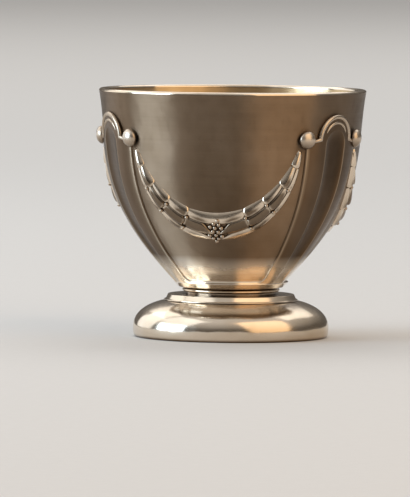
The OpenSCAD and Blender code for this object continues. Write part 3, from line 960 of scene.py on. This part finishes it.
def roll(s, turn):
    """The thick moulding over the arch, whose ends run out to the beads."""
    shoulder_x = float(wall_r(SHOULDER_Z)) * math.sin(math.radians(PANEL_HALF))
    end_x = shoulder_x - BEAD_D / 2 + ROLL_UNDER_BEAD
    a = np.radians(np.linspace(0, 180, ROLL_POINTS))
    side = np.linspace(1, 0, ROLL_END_POINTS)[:-1]
    end_xs = PLATE_R + side * (end_x - PLATE_R)
    end_zs = SHOULDER_Z - ROLL_R * side
    xs = np.concatenate([end_xs, PLATE_R * np.cos(a), -end_xs[::-1]])
    zs = np.concatenate([end_zs, SHOULDER_Z + PLATE_R * np.sin(a), end_zs[::-1]])
    thin = 1 - ROLL_THIN * np.clip(side * 2, 0, 1)
    bar(s, turn, xs, zs, ROLL_R * np.concatenate([thin, np.ones(len(a)), thin[::-1]]))


def fine_line(s, turn):
    """The thin moulding inside the roll, which fades at its ends."""
    a = np.radians(np.linspace(FINE_FROM, 180 - FINE_FROM, FINE_POINTS))
    fade = np.clip(np.minimum(a, math.pi - a) / math.radians(FINE_FADE), FINE_LEAST, 1)
    bar(s, turn, FINE_R * np.cos(a), SHOULDER_Z + FINE_R * np.sin(a), FINE_D / 2 * fade)


def make_panel(name, turn):
    s = Shape()
    plate(s, turn, lower_rows(), arris=ARRIS)
    plate(s, turn, arch_rows(), straight_on=True)
    roll(s, turn)
    fine_line(s, turn)
    return s.build(name, [PANEL, ROUND], sharp_degrees=50)


# Laurel festoons

FEST_END_Z = CUP_H - FEST_DROP
FEST_MID_Z = FEST_END_Z - FEST_SAG
# The right half of a festoon, from its middle out, in shares of its half angle and its sag
FEST_SHARES = ((0, 0), (0.6, 0), (0.905, 0.41), (1, 1))
FEST_PATH = np.array([(x * FEST_HALF, FEST_MID_Z + y * FEST_SAG) for x, y in FEST_SHARES])
FEST_TAPER = 1.8
FEST_HIGH_SHARE, FEST_HIGH_LEAST = 0.37, 0.3  # height of the leaves from the half width
GROUP_STARTS = (0, 0.27, 0.49, 0.69, 0.86, 1)
GROUP_ROWS = (3, 3, 3, 2, 1)
# Place, half width and height of the leaves of a group, in shares
LEAF_ROWS = {
    3: ((-0.68, 0.38, 0.92), (0.68, 0.38, 0.95), (0.0, 0.48, 1.0)),
    2: ((-0.5, 0.54, 0.92), (0.4, 0.62, 1.04)),
    1: ((0.0, 1.0, 1.0),),
}
# Places along a leaf, from tip to root, and across it
LEAF_W = np.concatenate([
    [0, 0.004, 0.012, 0.025, 0.045, 0.075, 0.11, 0.15, 0.2],
    np.linspace(0.27, 0.9, 10), [0.94, 0.965, 0.985, 0.996, 1],
])
LEAF_V = np.sin(np.radians(np.linspace(-90, 90, 19)))
# Random spreads of a leaf's height, width and tip
TALL_SPREAD, HALF_SPREAD, TIP_SPREAD = (0.94, 1.05), (0.97, 1.03), (-0.012, 0.004)
# In the middle one joined leaf goes over the other, and the rest stop short
JOIN_PAST, JOIN_UNDER, MID_GAP = -0.006, 0.99, 0.003
ROOT_OVERLAP = 0.05
# A round tip and a pointed one, and how they lean, in shares of the length and the width
ROUND_TIP, ROUND_POWER, ROUND_LEAN = 0.3, 2.3, -0.1
POINT_TIP, POINT_POWER, POINT_LEAN_POWER = 0.45, 1.5, 1.3
POINT_LEAN, MIDDLE_POINT_LEAN = -0.1, -0.3
# How much narrower and lower a leaf gets to its root, from a share of its length on
ROOT_NARROWER, LAST_NARROWER, NARROW_FROM = 0.12, 0.3, 0.5
ROOT_LOWER, LOWER_POWER, LOWER_FROM = 0.42, 1.3, 0.25
LEAST_HALF = 0.015
LEAF_CROWN, FEST_CROWN = 0.36, 0.72  # fall from the middle of a leaf and of the festoon
LEAF_EDGE_R, LEAF_TIP_R, LEAF_END_R = 0.42, 0.45, 0.35
LEAF_SUNK = 0.08

# Places across the festoon of the berries before each group, in shares of its half width
BERRY_ROWS = ((), (-0.45, 0.42), (-0.48, 0.4), (-0.3,), ())
BERRY_LIFT, BERRY_LIFT_SPREAD, BERRY_SIZE_SPREAD = 0.62, (0, 0.08), (0.86, 0.98)
# Places of the middle cluster's berries, to the right and up, in shares of its half width
CLUSTER = (
    (0.1, 0.62), (-0.12, 0.42), (0.17, 0.36), (-0.34, 0.2), (-0.06, 0.13), (0.31, 0.13),
    (0.13, -0.13), (-0.2, -0.1), (-0.42, -0.42), (-0.02, -0.38), (0.34, -0.46), (-0.2, -0.62),
    (0.12, -0.66), (-0.02, -0.86),
)
CLUSTER_LIFT, CLUSTER_FALL, CLUSTER_DROPS = 1.0, 0.45, (0.0, 0.3)
CLUSTER_LIFT_SPREAD, CLUSTER_SIZE_SPREAD = (0, 0.12), (1.0, 1.16)

# The ground under the leaves: places across it and lifts, its length, and the mound under
# the cluster
GROUND_H = 0.22
GROUND_V = np.array([0.84, 0.82, 0.76, 0.3])
GROUND_LIFTS = np.array([BACK_LIFT + 0.05, 0.1, 0.18, GROUND_H])
GROUND_END, GROUND_ROWS = 0.97, 79
MOUND_H, MOUND_W = 0.56, 0.12


def fest_half_w(t):
    """Half the width of a festoon at t, from 0 in its middle to 1 at its end."""
    return (FEST_END_W + (FEST_MID_W - FEST_END_W) * (1 - np.abs(t) ** FEST_TAPER)) / 2


def fest_place(t, v):
    """Angle and height of a place on the right half: t along it, v across it."""
    t, v = np.broadcast_arrays(np.asarray(t, float), np.asarray(v, float))
    p = cubic(FEST_PATH, t)
    per_degree = wall_r(p[..., 1]) * math.pi / 180
    rise = np.sin(wall_slope(p[..., 1]))
    d = cubic_dir(FEST_PATH, t)
    along = unit(np.stack([d[..., 0] * per_degree, d[..., 1] / rise], axis=-1))
    reach = v * fest_half_w(t)
    angle = p[..., 0] - along[..., 1] * reach / per_degree
    return angle, p[..., 1] + along[..., 0] * reach * rise


def fest_height(t):
    """Height of the leaves off the wall."""
    return FEST_HIGH_SHARE * fest_half_w(t) + FEST_HIGH_LEAST


def fest_length():
    """Length of half a festoon on the wall, in mm."""
    angle, z = cubic(FEST_PATH, np.linspace(0, 1, 101)).T
    flat = np.stack([angle * wall_r(z) * math.pi / 180, z / np.sin(wall_slope(z))], axis=1)
    return float(np.linalg.norm(np.diff(flat, axis=0), axis=1).sum())


FEST_LENGTH = fest_length()


def rounding(distance, radius):
    """0 at an edge, 1 at a distance of radius or more, on a quarter circle."""
    return np.sqrt(np.clip(1 - np.clip(1 - distance / radius, 0, 1) ** 2, 0, 1))


def falling(w, end):
    """1 at the tip of a leaf, 0 from end on."""
    return np.clip(1 - w / end, 0, 1)


def climbing(w, start):
    """0 up to start, 1 at the root of a leaf."""
    return np.clip((w - start) / (1 - start), 0, 1)


def leaf(s, group, row, side, turn, rng):
    """A leaf that lies like a scale: its high round tip covers the root of the next one.

    In the middle the two upper leaves run into one, and the others meet in points."""
    centre, half, tall = LEAF_ROWS[GROUP_ROWS[group]][row]
    joined = group == 0 and centre > 0
    pointed = group == 0 and not joined
    last = group == len(GROUP_ROWS) - 1
    if not joined:
        tall *= rng.uniform(*TALL_SPREAD)
        half *= rng.uniform(*HALF_SPREAD)
    t_tip, t_root = GROUP_STARTS[group], GROUP_STARTS[group + 1]
    overlap = 0.0 if last else ROOT_OVERLAP * (t_root - t_tip)
    if group:
        t_tip += rng.uniform(*TIP_SPREAD)
    elif joined:
        t_tip, tall = (JOIN_PAST, tall) if side > 0 else (0.0, JOIN_UNDER * tall)
    else:
        t_tip = MID_GAP
    t_root += overlap
    w, v = np.meshgrid(LEAF_W, LEAF_V, indexing="ij")
    if joined:
        tip, shift = np.ones_like(w), 0.0
    elif pointed:
        short = falling(w, POINT_TIP)
        tip = 1 - short**POINT_POWER
        lean = MIDDLE_POINT_LEAN if centre == 0 else POINT_LEAN
        shift = lean * short**POINT_LEAN_POWER
    else:
        tip = (1 - falling(w, ROUND_TIP) ** ROUND_POWER) ** (1 / ROUND_POWER)
        shift = ROUND_LEAN * centre * falling(w, ROUND_TIP) ** 2
    narrower = LAST_NARROWER if last else ROOT_NARROWER
    root = 1 - narrower * climbing(w, NARROW_FROM) ** 2
    wide = np.maximum(tip * root * half, LEAST_HALF)
    span = t_root - t_tip
    t = t_tip + w * span
    lower = 1 - ROOT_LOWER * climbing(w, LOWER_FROM) ** LOWER_POWER
    high = fest_height(t) * tall * lower
    across = centre + shift + v * wide
    off_middle = np.clip(np.abs(across), 0, 1)
    crown = (1 - LEAF_CROWN * v * v) * (1 - FEST_CROWN * off_middle**2)
    edges = rounding((1 - np.abs(v)) * wide * fest_half_w(t), LEAF_EDGE_R)
    if not joined:
        edges = edges * rounding(w * span * FEST_LENGTH, LEAF_TIP_R)
    if last:
        edges = edges * rounding((1 - w) * span * FEST_LENGTH, LEAF_END_R)
    lift = -LEAF_SUNK + (high * crown + LEAF_SUNK) * edges
    angle, z = fest_place(t, across)
    pad(s, turn + side * angle, z, lift, mirrored=side > 0)


def ground(s, turn):
    """The dark ground that closes the gaps between the leaves and carries the cluster."""
    v = np.concatenate([-GROUND_V, GROUND_V[::-1]])
    lift = np.concatenate([GROUND_LIFTS, GROUND_LIFTS[::-1]])
    along = np.linspace(-GROUND_END, GROUND_END, GROUND_ROWS)
    tt, vv = np.meshgrid(along, v, indexing="ij")
    mound = MOUND_H * np.exp(-((tt / MOUND_W) ** 2)) * np.clip(lift / GROUND_H, 0, 1)
    angle, z = fest_place(np.abs(tt), vv)
    pad(s, turn + np.sign(tt) * angle, z, lift + mound, 1, mirrored=True)


def berry_cluster(s, turn, rng):
    """Berries in the middle, each of two balls, one behind the other."""
    mid = FEST_MID_W / 2
    rise = math.sin(float(wall_slope(FEST_MID_Z)))
    for x, y in CLUSTER:
        z = FEST_MID_Z + y * mid * rise
        angle = turn + math.degrees(x * mid / float(wall_r(FEST_MID_Z)))
        lift = CLUSTER_LIFT + rng.uniform(*CLUSTER_LIFT_SPREAD) - CLUSTER_FALL * y * y
        radius = BERRY_D / 2 * rng.uniform(*CLUSTER_SIZE_SPREAD)
        for drop in CLUSTER_DROPS:
            ball(s, on_wall(angle, z, lift - drop), radius, 2)


def make_festoon(name, turn, seed):
    rng = np.random.default_rng(seed)
    s = Shape()
    ground(s, turn)
    for side in (-1, 1):
        for group, rows in enumerate(GROUP_ROWS):
            for row in range(rows):
                leaf(s, group, row, side, turn, rng)
            t = GROUP_STARTS[group]
            for v in BERRY_ROWS[group]:
                angle, z = fest_place(t, v)
                lift = BERRY_LIFT * fest_height(t) + rng.uniform(*BERRY_LIFT_SPREAD)
                at = on_wall(turn + side * angle, z, lift)
                ball(s, at, BERRY_D / 2 * rng.uniform(*BERRY_SIZE_SPREAD), 2)
    berry_cluster(s, turn, rng)
    return s.build(name, [CHASED, RECESS, BERRY], sharp_degrees=60)


# The whole cup

FIRST_SEED = 11
PIECES = [
    (make_foot(), ["foot"], "polished_silver"),
    (make_collar(), ["foot_collar"], "polished_silver"),
    (make_neck(), ["neck_ring"], "polished_silver"),
    (make_bowl(), ["bowl"], "satin_silver"),
    (make_rim(), ["rim_wire"], "polished_silver"),
]
for side, turn in (("right", 0.5), ("back", 1.5), ("left", -0.5)):
    piece = make_panel("arched_panel_" + side, turn * TURN)
    PIECES.append((piece, ["panel_" + side], "satin_silver"))
for seed, (side, turn) in enumerate((("front", 0), ("rear_right", 1), ("rear_left", -1))):
    piece = make_festoon("laurel_festoon_" + side, turn * TURN, FIRST_SEED + seed)
    PIECES.append((piece, ["festoon_" + side], "chased_silver"))
bead_angle = TURN / 2 - PANEL_HALF
for side, sign in (("right", 1), ("left", -1)):
    for where, angle in (
        ("front", bead_angle),
        ("side", TURN - bead_angle),
        ("rear", TURN + bead_angle),
    ):
        name = where + "_" + side
        piece = make_bead("round_bead_" + name, sign * angle)
        PIECES.append((piece, ["bead_" + name], "chased_silver"))

for piece, nodes, slot in PIECES:
    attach(piece, "root")
    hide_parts(*nodes)

# Camera, floor and light, in metres and degrees

CAM_AZIMUTH, CAM_DISTANCE, CAM_HEIGHT = 8.2, 1.2, 0.0841
CAM_ROLL = 0.5
TARGET_Z, TARGET_LEFT = 0.01643, 0.00493
SENSOR_MM, LENS_MM = 36.0, 465.4

FLOOR_HALF, FLOOR_ROUGH = 12, 0.75
FLOOR_DARK, FLOOR_PALE = (0.61, 0.595, 0.575), (0.64, 0.625, 0.605)

# 0 is level, and all that lies below, and 1 is straight up
WORLD_STOPS = (
    (0.0, (0.11, 0.10, 0.09)),
    (0.22, (0.13, 0.12, 0.11)),
    (0.5, (0.38, 0.365, 0.35)),
    (1.0, (0.74, 0.73, 0.72)),
)

# The floor under the back lamp, at which it faces straight down
BACK_OUT = 1.5
BACK_AIM = (
    -BACK_OUT * math.sin(math.radians(CAM_AZIMUTH)),
    BACK_OUT * math.cos(math.radians(CAM_AZIMUTH)),
    0,
)
CUP_AIM = (0, 0, 0.03)
# Name, degrees to the right of the camera, distance, height, the lamp's own width and
# height, colour, radiance, and the point that it faces
LAMPS = (
    ("lamp_left_low", -76, 1.6, 0.41, 1.1, 0.81, (0.63, 0.81, 1.0), 7.3, CUP_AIM),
    ("lamp_left", -76, 0.55, 0.50, 0.56, 0.5, (0.93, 0.97, 1.0), 0.92, CUP_AIM),
    ("lamp_far_left", -125, 0.60, 0.25, 0.42, 0.5, (0.95, 0.98, 1.0), 1.2, CUP_AIM),
    ("lamp_right", 48, 0.60, 0.36, 0.72, 0.76, (1.0, 0.70, 0.41), 1.2, CUP_AIM),
    ("lamp_back", 180, BACK_OUT, 1.5, 3.0, 2.2, (1.0, 0.99, 0.97), 1.05, BACK_AIM),
)


def make_camera():
    az = math.radians(CAM_AZIMUTH)
    eye = Vector((CAM_DISTANCE * math.sin(az), -CAM_DISTANCE * math.cos(az), CAM_HEIGHT))
    right = Vector((math.cos(az), math.sin(az), 0))
    target = Vector((0, 0, TARGET_Z)) - TARGET_LEFT * right
    data = bpy.data.cameras.new("camera")
    data.sensor_width = SENSOR_MM
    data.lens = LENS_MM
    cam = in_scene("camera", data)
    cam.location = eye
    cam.rotation_euler = (target - eye).to_track_quat("-Z", "Y").to_euler()
    cam.rotation_euler.rotate_axis("Z", math.radians(CAM_ROLL))
    bpy.context.scene.camera = cam


def make_floor():
    mesh = bpy.data.meshes.new("floor")
    h = FLOOR_HALF
    corners = [(-h, -h, 0), (h, -h, 0), (h, h, 0), (-h, h, 0)]
    mesh.from_pydata(corners, [], [(0, 1, 2, 3)])
    m = Nodes("floor")
    colour = m.mix(m.noise(*FLOOR_GRAIN), FLOOR_DARK, FLOOR_PALE)
    m.link(colour, m.shader.inputs["Base Color"])
    m.shader.inputs["Roughness"].default_value = FLOOR_ROUGH
    mesh.materials.append(m.material)
    floor = in_scene("floor", mesh)


def make_lamp(name, azimuth, distance, height, width, tall, colour, radiance, aim):
    """A flat soft light at an azimuth from the camera's, that faces a point."""
    a = math.radians(CAM_AZIMUTH + azimuth)
    data = bpy.data.lights.new(name, "AREA")
    data.shape = "RECTANGLE"
    data.size, data.size_y = width, tall
    data.color = colour
    data.energy = radiance * math.pi * width * tall
    lamp = in_scene(name, data)
    lamp.location = (distance * math.sin(a), -distance * math.cos(a), height)
    lamp.rotation_euler = (Vector(aim) - lamp.location).to_track_quat("-Z", "Y").to_euler()
    lamp.visible_camera = False


def make_world():
    world = bpy.data.worlds.new("studio")
    bpy.context.scene.world = world
    world.use_nodes = True
    tree = world.node_tree
    back = tree.nodes["Background"]
    coord = tree.nodes.new("ShaderNodeTexCoord")
    split = tree.nodes.new("ShaderNodeSeparateXYZ")
    ramp = tree.nodes.new("ShaderNodeValToRGB")
    tree.links.new(coord.outputs["Generated"], split.inputs[0])
    tree.links.new(split.outputs["Z"], ramp.inputs[0])
    set_stops(ramp.color_ramp, WORLD_STOPS)
    tree.links.new(ramp.outputs["Color"], back.inputs["Color"])
    back.inputs["Strength"].default_value = 1.0


make_camera()
make_floor()
make_world()
for lamp in LAMPS:
    make_lamp(*lamp)

bpy.context.scene.view_settings.view_transform = "Standard"
